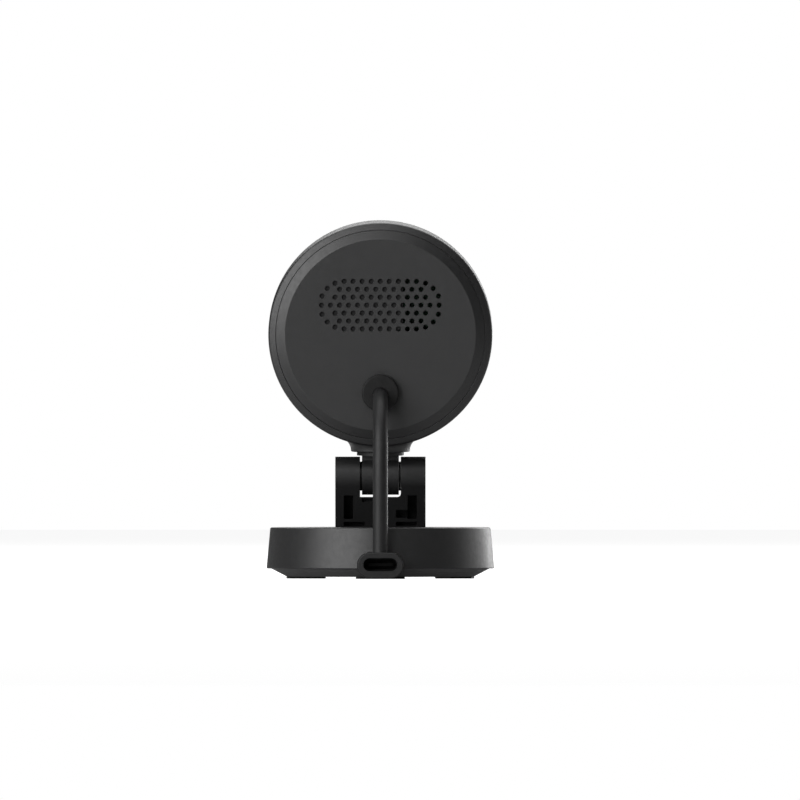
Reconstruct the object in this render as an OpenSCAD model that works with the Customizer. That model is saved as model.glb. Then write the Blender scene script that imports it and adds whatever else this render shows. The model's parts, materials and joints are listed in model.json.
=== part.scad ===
// Small indoor camera: a round head on a swivelling neck and a tilting hinge, over a weighted desk base.
// Millimetres. +Z is up, the lens looks along +Y, and the origin is on the desk under the base's centre.

/* [Head] */
// Outside diameter of the round head
head_d = 60; // [59:0.5:61]
// Depth of the head, from the front of the bezel to the flat back
head_depth = 26; // [25.6:0.1:26.4]
// Distance from the hinge axis up to the head's centre
head_rise = 38.3; // [38:0.1:38.6]
// Angle at which the head leans back at rest
head_lean = 2; // [0:0.5:3]
// Diameter of the flat part of the back
flat_back_d = 51.2; // [50:0.2:52]

/* [Speaker grille] */
// Diameter of each hole
grille_hole_d = 1.28; // [1:0.02:1.4]
// Spacing of the holes along a row
grille_pitch = 2.42; // [2.3:0.01:2.5]
// Height of the grille's centre above the head's centre
grille_rise = 7.95; // [7:0.05:9]

/* [Hinge] */
// Height of the tilt hinge above the desk
hinge_z = 27.4; // [27:0.1:28]
// Width of the yoke across both ears
yoke_w = 24.2; // [24:0.1:25]
// Radius of the ears
ear_r = 5.22; // [5:0.02:5.4]
// Width of the knuckle between the ears
knuckle_w = 9.9; // [9.5:0.1:10]
// Slope of the back of the yoke, from upright
yoke_slope = 33; // [28:1:36]

/* [Base] */
// Diameter of the base at its top edge
base_top_d = 59.1; // [58:0.1:59.5]
// Diameter of the base at its lower edge
base_low_d = 61; // [60.5:0.1:62]
// Height of the base's top above the desk
base_top_z = 13.7; // [13.5:0.1:14]
// Thickness of the ballast plate
ballast_t = 5; // [3:0.5:6]

/* [Cable and socket] */
// Diameter of the cable
cable_d = 4; // [3.6:0.1:4]
// Width of the socket's housing
port_w = 12.3; // [12:0.1:12.6]
// Height of the socket's housing
port_h = 6.9; // [6.6:0.1:7]

/* [Hidden] */
$fn = 96;

// Gaps: between seated pieces, between running faces, and round a running pin
seat_gap = 0.1;
face_gap = 0.03;
pin_gap = 0.05;
wall = 1.8;

// Head: the bevel round the back, the parting line on it and the edge fillet
head_r = head_d / 2;
back_z = head_depth / 2;
flat_back_r = flat_back_d / 2;
bevel_slope = 0.51;
edge_fillet = 1;
parting_r = 28;
parting_gap = 0.1;
cover_r = parting_r - parting_gap / 2;
housing_in_r = 27.6;
cover_seat_z = back_z - 3.5;
bezel_back_z = -back_z + 2.3;
web_z = -back_z + 9.4;
web_t = 1.6;
board_z = web_z + web_t + 2.4;
board_t = 1.2;

// Grille: a stadium of holes, in rows that get shorter away from the middle one
grille_rows = [14, 11, 10, 9];
grille_row_step = 2.12;
grille_end_r = 3 * grille_row_step;
grille_end_x = 4 * grille_pitch;

// Neck, knuckle and swivel, measured up from the hinge axis
neck_r = 7.9;
neck_fillet = 3.4;
flange_h = 6.6;
swivel_disc_r = 6.3;
swivel_disc_t = 1;
spigot_r = 3.5;
boss_r = 6.5;
boss_h = 11.75;
knuckle_r = ear_r - 0.22;
bolt_r = 1.5;
slot_w = 10.9;
slot_floor_z = hinge_z - 5.6;
cap_r = 3.9;
cap_t = 0.8;
yoke_front_slope = 22;
slot_fillet = 0.9;
bolt_seat = 3;
bolt_head_t = 1.9;
nut_t = 2.4;
washer_r = 3.9;

// Lens, above the head's centre, and what surrounds it
lens_y = 4;
barrel_r = 7;
barrel_z = -back_z + 0.1;
led_ring_r = 13;
led_count = 6;
window_r = 24.6;
window_z = -back_z + 0.5;
window_t = 1.2;
led_board_z = -back_z + 3.4;
light_y = -16.5;
microphone_y = 20.5;
holder_screw_x = 15;

// Boards, speaker and screws inside the head
board_r = 25.5;
board_screw_r = 22.5;
board_screw_angles = [50, 130, 205, 335];
speaker_x = -6.5;
speaker_w = 25;
speaker_z = 5.4;
speaker_t = 5;
speaker_d = 12.6;
mesh_d = 13.8;
grille_t = 0.5;
screw_head_t = 1.4;
pilot_r = 0.9;

// Cable boot, below the head's centre, with the cable leaving a little under its middle
boot_y = -15.5;
boot_r = 4.95;
boot_neck_r = 3.9;
boot_out = 3.2;
cable_y = boot_y - 0.6;
cable_r = cable_d / 2;

// Base
base_top_r = base_top_d / 2;
base_low_r = base_low_d / 2;
roof_z = base_top_z - wall;
shell_low_z = 2.65;
pad_t = 0.5;
pad_w = 13.1;
pad_in_r = 16;
pad_out_r = 25.2;
ballast_r = 24;
pan_flat_r = 25.3;
pan_rim_r = 29.2;
pan_t = 1.6;
ring_r = 28.2;
post_ring_r = 20.9;
post_angles = [0, 90, 180, 270];
yoke_screw_x = 4.5;
yoke_screw_y = 7.4;

// Socket, at the back of the base
port_z = 3.65;
port_back_y = -36.4;
port_front_y = -27;
port_slot_w = 9.1;
port_slot_h = 3.5;
port_slot_z = port_z + 0.2;
port_shell_y = port_back_y + 3;
port_clear = 8;
cable_end_y = -33.5;
cable_end_z = 6;

// The cable's centreline in the plane x = 0, as [y, z]: out of the boot, round, and down to the socket
cable_route = [
    [-1.7, 49.5], [-5.1, 49.4], [-8.5, 49.3], [-11.9, 49.2], [-15.3, 49.1],
    [-18.2, 48.8], [-21, 48], [-23.7, 46.6], [-26.2, 44.6], [-28.5, 42],
    [-30.4, 38.9], [-31.8, 35.5], [-32.7, 31.9], [-33.2, 28.2], [-33.5, 24.4],
    [-33.6, 20.5], [-33.6, 16.5], [-33.6, 12.5], [cable_end_y, 9], [cable_end_y, cable_end_z]
];

// ---------- frames ----------

// Neck frame: origin on the hinge axis, Z up along the neck
module on_neck() {
    translate([0, 0, hinge_z]) rotate([head_lean, 0, 0]) children();
}

// Head frame: origin at the head's centre, X right, Y up, Z towards the back
module on_head() {
    on_neck() translate([0, 0, head_rise]) rotate([90, 0, 0]) children();
}

// The neck frame again, from inside the head frame
module neck_in_head() {
    rotate([-90, 0, 0]) translate([0, 0, -head_rise]) children();
}

// Turns Z to +X, for what lies along the hinge axis
module along_x(x = 0) {
    translate([x, 0, 0]) rotate([0, 90, 0]) children();
}

// ---------- helpers ----------

function arc(r, from, to, steps) =
    [for (i = [0:steps]) let (a = from + (to - from) * i / steps) r * [cos(a), sin(a)]];

function moved(points, by) = [for (p = points) p + by];

function bevel_z(r) = back_z - (r - flat_back_r) * bevel_slope;

module ring(r_out, r_in, z0, z1) {
    translate([0, 0, z0]) linear_extrude(z1 - z0) difference() {
        circle(r_out);
        circle(r_in);
    }
}

module rod(r, z0, z1) {
    translate([0, 0, z0]) cylinder(r = r, h = z1 - z0);
}

// A plate with round corners, centred on Z
module round_plate(w, d, z0, z1, corner = 1) {
    translate([0, 0, z0]) linear_extrude(z1 - z0) {
        square([w - 2 * corner, d], center = true);
        square([w, d - 2 * corner], center = true);
        for (x = [-1, 1], y = [-1, 1])
            translate([x * (w / 2 - corner), y * (d / 2 - corner)]) circle(corner, $fn = 32);
    }
}

// A screw along Z with its head's underside at z = 0, head up
module screw(shaft_r, shaft_l, head_r_out, head_t) {
    difference() {
        union() {
            rod(shaft_r, -shaft_l, 0.01);
            rod(head_r_out, 0, head_t);
        }
        for (a = [0, 90])
            rotate([0, 0, a]) translate([0, 0, head_t])
                cube([head_r_out * 1.2, head_r_out * 0.28, head_t], center = true);
    }
}

module at_posts() {
    for (a = post_angles) rotate([0, 0, a]) translate([post_ring_r, 0, 0]) children();
}

// ---------- base ----------

module base_shell() {
    top_fillet = 0.5;
    in_low_r = pan_rim_r - 0.6;
    color("#2b2b2c") difference() {
        union() {
            rotate_extrude() polygon(concat(
                [[0, roof_z], [0, base_top_z]],
                moved(arc(top_fillet, 90, 5, 5), [base_top_r - top_fillet, base_top_z - top_fillet]),
                [[base_low_r, shell_low_z], [in_low_r, shell_low_z], [base_top_r - wall, roof_z]]
            ));
            at_posts() rod(2.8, 4.3, roof_z + 0.2);
        }
        at_posts() rod(pilot_r + pin_gap, 4, 10.5);
        for (x = [-1, 1])
            translate([x * yoke_screw_x, yoke_screw_y, 0]) rod(1.4, roof_z - 1, base_top_z + 1);
        port_block(seat_gap, port_clear);
    }
}

module base_pan() {
    rim_z = shell_low_z - 0.05;
    color("#29292a") difference() {
        union() {
            rotate_extrude() polygon([
                [0, pad_t], [pan_flat_r, pad_t], [pan_rim_r, rim_z], [ring_r - 1, rim_z],
                [pan_flat_r - 0.3, pad_t + pan_t], [0, pad_t + pan_t]
            ]);
            ring(ring_r, ring_r - 1.2, shell_low_z - 0.6, shell_low_z + 1.6);
            at_posts() rod(3.2, pad_t + 1, 4.2);
        }
        at_posts() rod(1.15, 0, 5);
        at_posts() rod(2.15, 0, 2.1);
        port_block(seat_gap, port_clear);
    }
}

module ballast_plate() {
    color("#8d9094") difference() {
        rod(ballast_r, pad_t + pan_t + seat_gap, pad_t + pan_t + seat_gap + ballast_t);
        at_posts() rod(3.5, 1, 12);
    }
}

module foot_pads() {
    color("#1c1c1d") for (a = post_angles) rotate([0, 0, a]) intersection() {
        ring(pad_out_r, pad_in_r, 0, pad_t);
        translate([pad_out_r, 0, 0]) cube([pad_out_r, pad_w, 4], center = true);
    }
}

module pan_screws() {
    color("#b9bcc0") at_posts() translate([0, 0, pad_t + pan_t - 0.05]) rotate([180, 0, 0])
        screw(pilot_r, 6, 2, screw_head_t);
}

// ---------- yoke and hinge ----------

// The yoke's back and front faces, as y at height z: each is tangent to the ears and slopes down forwards
function yoke_back(z) = -ear_r * cos(yoke_slope) + (hinge_z - ear_r * sin(yoke_slope) - z) * tan(yoke_slope);

function yoke_front(z) =
    ear_r * cos(yoke_front_slope) + (hinge_z + ear_r * sin(yoke_front_slope) - z) * tan(yoke_front_slope);

// A block from x0 to x1 whose back follows the yoke's back face, starting y0 and ending y1 in front of it
module sloped_block(x0, x1, z0, z1, y0, y1) {
    translate([x0, 0, 0]) rotate([90, 0, 90]) linear_extrude(x1 - x0) polygon([
        [yoke_back(z0) + y0, z0], [yoke_back(z0) + y1, z0],
        [yoke_back(z1) + y1, z1], [yoke_back(z1) + y0, z1]
    ]);
}

module yoke() {
    low_z = base_top_z;
    high_z = hinge_z + ear_r * sin(yoke_front_slope);
    core_x = 7.3;
    side_x = yoke_w / 2 - 2.3;
    post_x = 4.2;
    color("#232324") difference() {
        union() {
            translate([-yoke_w / 2, 0, 0]) rotate([90, 0, 90]) linear_extrude(yoke_w) polygon([
                [yoke_back(low_z), low_z], [yoke_front(low_z), low_z],
                [yoke_front(high_z), high_z], [0, hinge_z],
                [yoke_back(hinge_z - ear_r * sin(yoke_slope)), hinge_z - ear_r * sin(yoke_slope)]
            ]);
            translate([0, 0, hinge_z]) along_x(-yoke_w / 2) cylinder(r = ear_r, h = yoke_w);
        }
        // slot for the knuckle, with a fillet at one corner of its floor and a small recess under the other
        translate([0, 20, slot_floor_z]) rotate([90, 0, 0]) linear_extrude(40) polygon(concat(
            [[slot_w / 2, 20], [-slot_w / 2, 20], [-slot_w / 2, 0]],
            moved(arc(slot_fillet, -90, 0, 4), [slot_w / 2 - slot_fillet, slot_fillet])
        ));
        sloped_block(-5, -1.8, slot_floor_z - 1.3, slot_floor_z - 0.4, -3, 1.2);
        // cored pockets behind the side walls, and the open window low on the right
        for (s = [-1, 1])
            sloped_block(min(s * core_x, s * side_x), max(s * core_x, s * side_x), 15.9, 22.2, -3, 4.5);
        sloped_block(post_x, core_x + 0.1, 16.2, 18.3, -3, 3);
        // undercuts at the foot, where the snap hooks were moulded
        for (s = [-1, 1])
            sloped_block(min(s * post_x, s * side_x), max(s * post_x, s * side_x), 14, 15.1, -3, 3);
        // hinge bore, and the seats of the bolt's head, the nut and the two caps
        translate([0, 0, hinge_z]) {
            along_x(-yoke_w) rod(bolt_r + seat_gap, 0, 2 * yoke_w);
            along_x(-yoke_w / 2) rod(3, -1, bolt_seat);
            along_x(yoke_w / 2 - nut_t - 1) rotate([0, 0, 30]) cylinder(r = 3.35, h = nut_t + 2, $fn = 6);
            for (s = [-1, 1])
                along_x(s * yoke_w / 2) rod(cap_r + seat_gap, -cap_t - seat_gap, cap_t + seat_gap);
        }
        // screws from under the base's roof
        for (x = [-1, 1]) translate([x * yoke_screw_x, yoke_screw_y, 0]) rod(1.2, 10, 19.2);
    }
}

module yoke_screws() {
    color("#b9bcc0") for (x = [-1, 1])
        translate([x * yoke_screw_x, yoke_screw_y, roof_z - 0.05]) rotate([180, 0, 0])
            screw(1.15, 7, 2.3, screw_head_t);
}

module hinge_bolt() {
    head_x = -yoke_w / 2 + bolt_seat;
    color("#b9bcc0") translate([0, 0, hinge_z]) difference() {
        union() {
            along_x(head_x) rod(bolt_r, -0.01, yoke_w - bolt_seat - 1.1);
            along_x(head_x) rod(2.75, -bolt_head_t, 0);
        }
        along_x(head_x - bolt_head_t) cylinder(r = 1.3, h = bolt_head_t, center = true, $fn = 6);
    }
}

module hinge_nut() {
    x = yoke_w / 2 - nut_t - 0.95;
    color("#b9bcc0") translate([0, 0, hinge_z]) along_x(x) rotate([0, 0, 30]) difference() {
        cylinder(r = 3.2, h = nut_t, $fn = 6);
        rod(bolt_r + face_gap, -1, nut_t + 1);
    }
}

module hinge_washers() {
    gap = (slot_w - knuckle_w) / 2;
    color("#232324") translate([0, 0, hinge_z]) for (s = [-1, 1])
        along_x(s * (knuckle_w + gap) / 2)
            ring(washer_r, bolt_r + pin_gap, -gap / 2 + face_gap, gap / 2 - face_gap);
}

module hinge_caps() {
    color("#232324") translate([0, 0, hinge_z]) for (s = [-1, 1])
        along_x(s * (yoke_w / 2 - cap_t / 2)) rod(cap_r, -cap_t / 2, cap_t / 2);
}

// ---------- socket ----------

module stadium_rod(w, h, y0, y1) {
    translate([0, y1, 0]) rotate([90, 0, 0]) linear_extrude(y1 - y0) {
        square([w - h, h], center = true);
        for (s = [-1, 1]) translate([s * (w - h) / 2, 0]) circle(h / 2, $fn = 64);
    }
}

// The outer shape of the housing, grown by g all round and l longer at each end
module port_block(g = 0, l = 0) {
    translate([0, 0, port_z])
        stadium_rod(port_w + 2 * g, port_h + 2 * g, port_back_y - l, port_front_y + l);
}

module port_housing() {
    color("#29292a") difference() {
        port_block();
        translate([0, 0, port_slot_z]) {
            stadium_rod(port_slot_w, port_slot_h, port_back_y - 1, port_front_y - 1.4);
            translate([-4.6, port_front_y - 1.5, -0.5]) cube([9.2, 3, 1]);
        }
        translate([0, cable_end_y, 0]) rod(cable_r + pin_gap, cable_end_z, 10);
    }
}

module port_shell() {
    color("#1b1b1c") translate([0, 0, port_slot_z]) difference() {
        stadium_rod(8.94, 3.26, port_shell_y, port_front_y - 1.5);
        stadium_rod(8.34, 2.66, port_back_y, port_front_y - 1.9);
    }
}

module port_tongue() {
    back_y = port_shell_y + 1;
    front_y = port_front_y - 1.95;
    color("#151516") translate([-3.35, back_y, port_slot_z - 0.35]) cube([6.7, front_y - back_y, 0.7]);
}

module port_board() {
    color("#1f5c3a") translate([-4.5, port_front_y - 1.3, port_slot_z - 0.4]) cube([9, 3.8, 0.8]);
}

// ---------- cable ----------

cable_sides = 12;

// The direction of the route at point i
function route_way(i) =
    let (a = cable_route[max(i - 1, 0)], b = cable_route[min(i + 1, len(cable_route) - 1)])
    (b - a) / norm(b - a);

// One ring of the tube: across X, and across the route in its own plane
function cable_ring(i) =
    let (p = cable_route[i], t = route_way(i), n = [-t[1], t[0]])
    [for (k = [0:cable_sides - 1]) let (a = 360 * k / cable_sides)
        [cable_r * cos(a), p[0] + cable_r * sin(a) * n[0], p[1] + cable_r * sin(a) * n[1]]];

module cable() {
    n = cable_sides;
    rings = len(cable_route);
    points = [for (i = [0:rings - 1]) each cable_ring(i)];
    sides = [for (i = [0:rings - 2], k = [0:n - 1]) let (m = (k + 1) % n)
        [i * n + k, i * n + m, (i + 1) * n + m, (i + 1) * n + k]];
    start = [for (k = [0:n - 1]) n - 1 - k];
    end = [for (k = [0:n - 1]) (rings - 1) * n + k];
    color("#303031") polyhedron(points, concat([start], sides, [end]), convexity = 6);
}

// ---------- knuckle and swivel ----------

module knuckle() {
    color("#232324") on_neck() difference() {
        union() {
            along_x(-knuckle_w / 2) cylinder(r = knuckle_r, h = knuckle_w);
            translate([-knuckle_w / 2, -2.5, 0]) cube([knuckle_w, 5, flange_h - swivel_disc_t + 0.01]);
            rod(swivel_disc_r, flange_h - swivel_disc_t, flange_h - face_gap);
            rod(spigot_r, flange_h - 0.5, boss_h + face_gap);
        }
        along_x(-knuckle_w) rod(bolt_r + pin_gap, 0, 2 * knuckle_w);
        rod(1.05, 5.2, 20);
    }
}

module swivel_washer() {
    color("#b9bcc0") on_neck() ring(5.6, 1.3, boss_h + face_gap, boss_h + 0.85);
}

module swivel_screw() {
    color("#b9bcc0") on_neck() translate([0, 0, boss_h + 0.85]) screw(1, 6, 2.5, 1.4);
}

// ---------- head shells ----------

// The solid neck, flared by a fillet into the round of the head
module neck_solid() {
    fillet_x = neck_r + neck_fillet;
    fillet_h = head_rise - sqrt(pow(head_r + neck_fillet, 2) - pow(fillet_x, 2));
    meets = atan2(head_rise - fillet_h, fillet_x);
    flare = [for (p = arc(neck_fillet, 0, meets, 8)) [fillet_x - p[0], fillet_h + p[1]]];
    rotate_extrude() polygon(concat([[0, flange_h], [neck_r - 0.2, flange_h], [neck_r, flange_h + 0.2]],
        flare, [[0, flare[len(flare) - 1][1]]]));
    rod(boss_r, flange_h + 1, boss_h);
}

module head_housing() {
    seat_r = parting_r + parting_gap / 2;
    rim_r = head_r - 0.7;
    color("#2a2a2b") on_head() difference() {
        union() {
            rotate_extrude() polygon(concat(
                [[housing_in_r, bezel_back_z], [head_r - 0.15, bezel_back_z], [head_r, bezel_back_z + 0.15]],
                moved(arc(edge_fillet, 0, 63, 6), [head_r - edge_fillet, bevel_z(rim_r) - 0.85]),
                [[seat_r, bevel_z(seat_r)], [seat_r, cover_seat_z], [housing_in_r, cover_seat_z]]
            ));
            rod(housing_in_r + 0.5, web_z, web_z + web_t);
            neck_in_head() neck_solid();
            at_board_screws() rod(2.4, web_z, board_z);
        }
        neck_in_head() {
            rod(spigot_r + pin_gap, 0, boss_h + 5);
            // room inside for the washer and the screw's head
            translate([-7, -12, boss_h]) cube([14, 24, 3.4]);
        }
        translate([0, lens_y, 0]) rod(13.2, web_z - 1, web_z + web_t + 1);
        at_board_screws() rod(pilot_r, web_z + 0.4, board_z + 1);
        at_holder_screws() rod(pilot_r, web_z - 1, web_z + web_t + 1);
    }
}

module at_board_screws() {
    for (a = board_screw_angles) rotate([0, 0, a]) translate([board_screw_r, 0, 0]) children();
}

module at_holder_screws() {
    for (s = [-1, 1]) translate([s * holder_screw_x, lens_y, 0]) children();
}

module grille_holes() {
    d = grille_hole_d;
    rows = len(grille_rows) - 1;
    for (row = [-rows:rows]) {
        count = grille_rows[abs(row)];
        for (i = [0:count - 1])
            translate([(i - (count - 1) / 2) * grille_pitch, row * grille_row_step]) circle(d = d, $fn = 24);
    }
    for (sx = [-1, 1], sy = [-1, 1], a = [22.5, 45, 67.5])
        translate([sx * (grille_end_x + grille_end_r * cos(a)), sy * grille_end_r * sin(a)])
            circle(d = d, $fn = 24);
}

module rear_cover() {
    inner_z = back_z - wall;
    color("#2e2e2f") on_head() difference() {
        union() {
            rotate_extrude() polygon([
                [0, inner_z], [0, back_z], [flat_back_r, back_z], [cover_r, bevel_z(cover_r)],
                [cover_r, cover_seat_z + seat_gap], [cover_r - 1.4, cover_seat_z + seat_gap],
                [flat_back_r - 0.6, inner_z]
            ]);
            // snap skirt inside the housing
            ring(27.4, 26.3, cover_seat_z - 1.8, cover_seat_z + 0.3);
        }
        translate([0, grille_rise, inner_z - 1]) linear_extrude(wall + 2) grille_holes();
        // pocket that lets the speaker's mesh reach the grille
        translate([speaker_x, grille_rise, 0])
            round_plate(speaker_w + 0.4, mesh_d + 0.4, inner_z - 1, back_z - grille_t, 2);
        translate([0, boot_y, 0]) rod(boot_neck_r + face_gap, 0, back_z + 1);
    }
}

module cable_boot() {
    round_r = 0.5;
    color("#202021") on_head() difference() {
        translate([0, boot_y, 0]) rotate_extrude() polygon(concat(
            [[0, back_z - 3.2], [boot_r, back_z - 3.2], [boot_r, back_z - wall - face_gap],
                [boot_neck_r, back_z - wall - face_gap], [boot_neck_r, back_z + face_gap],
                [boot_r, back_z + face_gap]],
            moved(arc(round_r, 0, 90, 6), [boot_r - round_r, back_z + boot_out - round_r]),
            [[0, back_z + boot_out]]
        ));
        translate([0, cable_y, 0]) rod(cable_r + seat_gap, 0, back_z + boot_out + 1);
    }
}

// ---------- head electronics ----------

module cable_connector() {
    color("#e6e4dc") on_head() translate([0, cable_y, 0]) round_plate(8, 5, web_z + web_t, 0.85, 0.5);
}

module speaker() {
    front_z = speaker_z + speaker_t;
    color("#3a3a3c") on_head() translate([speaker_x, grille_rise, 0]) difference() {
        union() {
            round_plate(speaker_w, speaker_d, speaker_z, front_z, 2);
            round_plate(17, 9, speaker_z - 1.2, speaker_z + 0.1, 1);
        }
        round_plate(speaker_w - 3, speaker_d - 3, front_z - 0.8, front_z + 1, 1.5);
    }
}

module speaker_mesh() {
    color("#5a5a5c") on_head() translate([speaker_x, grille_rise, 0])
        round_plate(speaker_w, mesh_d, speaker_z + speaker_t + seat_gap, back_z - grille_t - seat_gap, 2);
}

module main_board() {
    color("#1f5c3a") on_head() difference() {
        union() {
            rod(board_r, board_z, board_z + board_t);
            translate([0, -5, 0]) round_plate(12, 10, board_z, board_z + 2.4, 0.5);
            translate([14, -9, 0]) round_plate(7, 8, board_z, board_z + 2.2, 0.5);
            translate([-14, -8, 0]) round_plate(6, 6, board_z, board_z + 2.1, 0.5);
        }
        translate([-7, -30, board_z - 1]) cube([14, 18.4, 5]);
        at_board_screws() rod(1.1, board_z - 1, board_z + 3);
    }
}

module board_screws() {
    color("#b9bcc0") on_head() at_board_screws() translate([0, 0, board_z + board_t + 0.02])
        screw(0.85, 4, 1.9, 1.2);
}

module heat_spreader() {
    z0 = board_z + 2.5;
    fin_l = 9.8;
    color("#b4b7ba") on_head() {
        translate([0, -fin_l / 2, 0]) round_plate(16, fin_l + 1, z0, z0 + 0.8, 1.5);
        for (i = [-3:3]) translate([i * 2.2, -fin_l / 2, z0 + 1.1]) cube([0.8, fin_l, 0.8], center = true);
    }
}

module wifi_antenna() {
    z0 = board_z + board_t;
    color("#b08d3c") on_head() translate([19.4, 3, 0]) round_plate(4, 15, z0, z0 + 0.5, 0.6);
}

// ---------- camera and front ----------

module lens_holder() {
    z_front = web_z - 5.2;
    color("#1d1d1e") on_head() translate([0, lens_y, 0]) difference() {
        union() {
            rod(8.2, z_front, web_z - 1);
            rod(13.4, web_z - 1.2, web_z);
            for (s = [-1, 1])
                translate([s * (holder_screw_x - 1), 0, 0]) round_plate(8, 6, web_z - 1.2, web_z, 2);
        }
        rod(6.05, z_front - 1, web_z + 1);
        for (s = [-1, 1]) translate([s * holder_screw_x, 0, 0]) rod(1.1, web_z - 3, web_z + 1);
    }
}

module holder_screws() {
    color("#b9bcc0") on_head() at_holder_screws()
        translate([0, 0, web_z - 1.22]) rotate([180, 0, 0]) screw(0.85, 2.6, 1.7, 1);
}

module sensor_board() {
    color("#1f5c3a") on_head() translate([0, lens_y, 0]) {
        rod(12.5, web_z + 0.02, web_z + 1);
        round_plate(6.4, 6.4, web_z - 0.6, web_z + 0.1, 0.4);
    }
}

module lens_barrel() {
    glass_seat_r = 4.6;
    color("#171718") on_head() translate([0, lens_y, 0]) difference() {
        union() {
            rod(barrel_r, barrel_z, barrel_z + 2.6);
            rod(6, barrel_z + 2.5, web_z - 1.4);
        }
        rod(3.2, barrel_z - 1, web_z + 1);
        rod(glass_seat_r, barrel_z - 1, barrel_z + 3.6);
        translate([0, 0, barrel_z - 0.01]) cylinder(r1 = barrel_r - 0.6, r2 = glass_seat_r, h = 1.5);
    }
}

// The domed outer element
module lens_glass() {
    dome_r = 7;
    edge_r = 4.5;
    rise = dome_r - sqrt(dome_r * dome_r - edge_r * edge_r);
    seat_z = barrel_z + 3.5;
    lean = asin(edge_r / dome_r);
    color("#5b6e8c") on_head() translate([0, lens_y, 0]) rotate_extrude() polygon(concat(
        [[0, seat_z], [edge_r, seat_z]],
        [for (p = arc(dome_r, 90 - lean, 90, 8)) [p[0], seat_z - 1.2 - rise + dome_r - p[1]]]
    ));
}

module lens_elements() {
    color("#8fa3bd") on_head() translate([0, lens_y, 0]) for (z = [-8.6, -6.6]) rod(3.1, z, z + 1);
}

module led_board() {
    z0 = led_board_z;
    color("#202422") on_head() difference() {
        rod(window_r - 1, z0, z0 + 0.8);
        translate([0, lens_y, 0]) rod(barrel_r + 1.6, z0 - 1, z0 + 2);
    }
}

module infrared_leds() {
    z0 = led_board_z - 0.02;
    color("#3b2f45") on_head() translate([0, lens_y, 0])
        for (i = [0:led_count - 1]) rotate([0, 0, 360 / led_count * i]) translate([led_ring_r, 0, 0]) {
            round_plate(3, 3, z0 - 0.5, z0, 0.4);
            translate([0, 0, z0 - 0.45]) intersection() {
                sphere(r = 1.2, $fn = 48);
                translate([0, 0, -2]) cube([4, 4, 4], center = true);
            }
        }
}

module status_light() {
    z0 = led_board_z - 0.02;
    color("#cfd8d2") on_head() translate([0, light_y, 0]) {
        rod(0.8, window_z + 0.1, z0 - 0.1);
        round_plate(2.6, 2.6, z0 - 1, z0, 0.4);
    }
}

module microphone() {
    z0 = led_board_z - 0.02;
    color("#b4b7ba") on_head() translate([0, microphone_y, 0]) round_plate(3.6, 2.6, z0 - 1.1, z0, 0.4);
}

module front_window() {
    color("#0e0e10") on_head() difference() {
        rod(window_r, window_z, window_z + window_t);
        translate([0, lens_y, 0]) rod(barrel_r + seat_gap, -back_z, -back_z + 3);
        translate([0, light_y, 0]) rod(0.85, -back_z, -back_z + 3);
        translate([0, microphone_y, 0]) rod(0.5, -back_z, -back_z + 3);
    }
}

module front_bezel() {
    round_r = 1.6;
    front_r = head_r - round_r;
    in_r = window_r + seat_gap;
    color("#2a2a2b") on_head() {
        rotate_extrude() polygon(concat(
            [[in_r, bezel_back_z - seat_gap], [in_r, -back_z + 0.4], [in_r + 0.5, -back_z]],
            [[front_r, -back_z]],
            moved([for (p = arc(round_r, 90, 0, 6)) [p[0], -p[1]]], [front_r, -back_z + round_r]),
            [[head_r, bezel_back_z - seat_gap - 0.15], [head_r - 0.15, bezel_back_z - seat_gap]]
        ));
        ring(housing_in_r - seat_gap, in_r, bezel_back_z - seat_gap - 0.1, bezel_back_z + 1.8);
        // ledge behind the window
        ring(in_r + 0.1, window_r - 1.4, window_z + window_t + seat_gap, led_board_z - 0.2);
    }
}

base_shell();
base_pan();
ballast_plate();
foot_pads();
pan_screws();
yoke();
yoke_screws();
hinge_bolt();
hinge_nut();
hinge_washers();
hinge_caps();
port_housing();
port_shell();
port_tongue();
port_board();
cable();
knuckle();
swivel_washer();
swivel_screw();
head_housing();
rear_cover();
cable_boot();
cable_connector();
speaker();
speaker_mesh();
main_board();
board_screws();
heat_spreader();
wifi_antenna();
lens_holder();
holder_screws();
sensor_board();
lens_barrel();
lens_glass();
lens_elements();
led_board();
infrared_leds();
status_light();
microphone();
front_window();
front_bezel();
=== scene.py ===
"""Looks of the small indoor camera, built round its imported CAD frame.

Pieces are made in millimetres and set into the frame, which is in metres, once their shape is final."""

import json
import math

import bmesh
import bpy
from mathutils import Matrix, Vector

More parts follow.
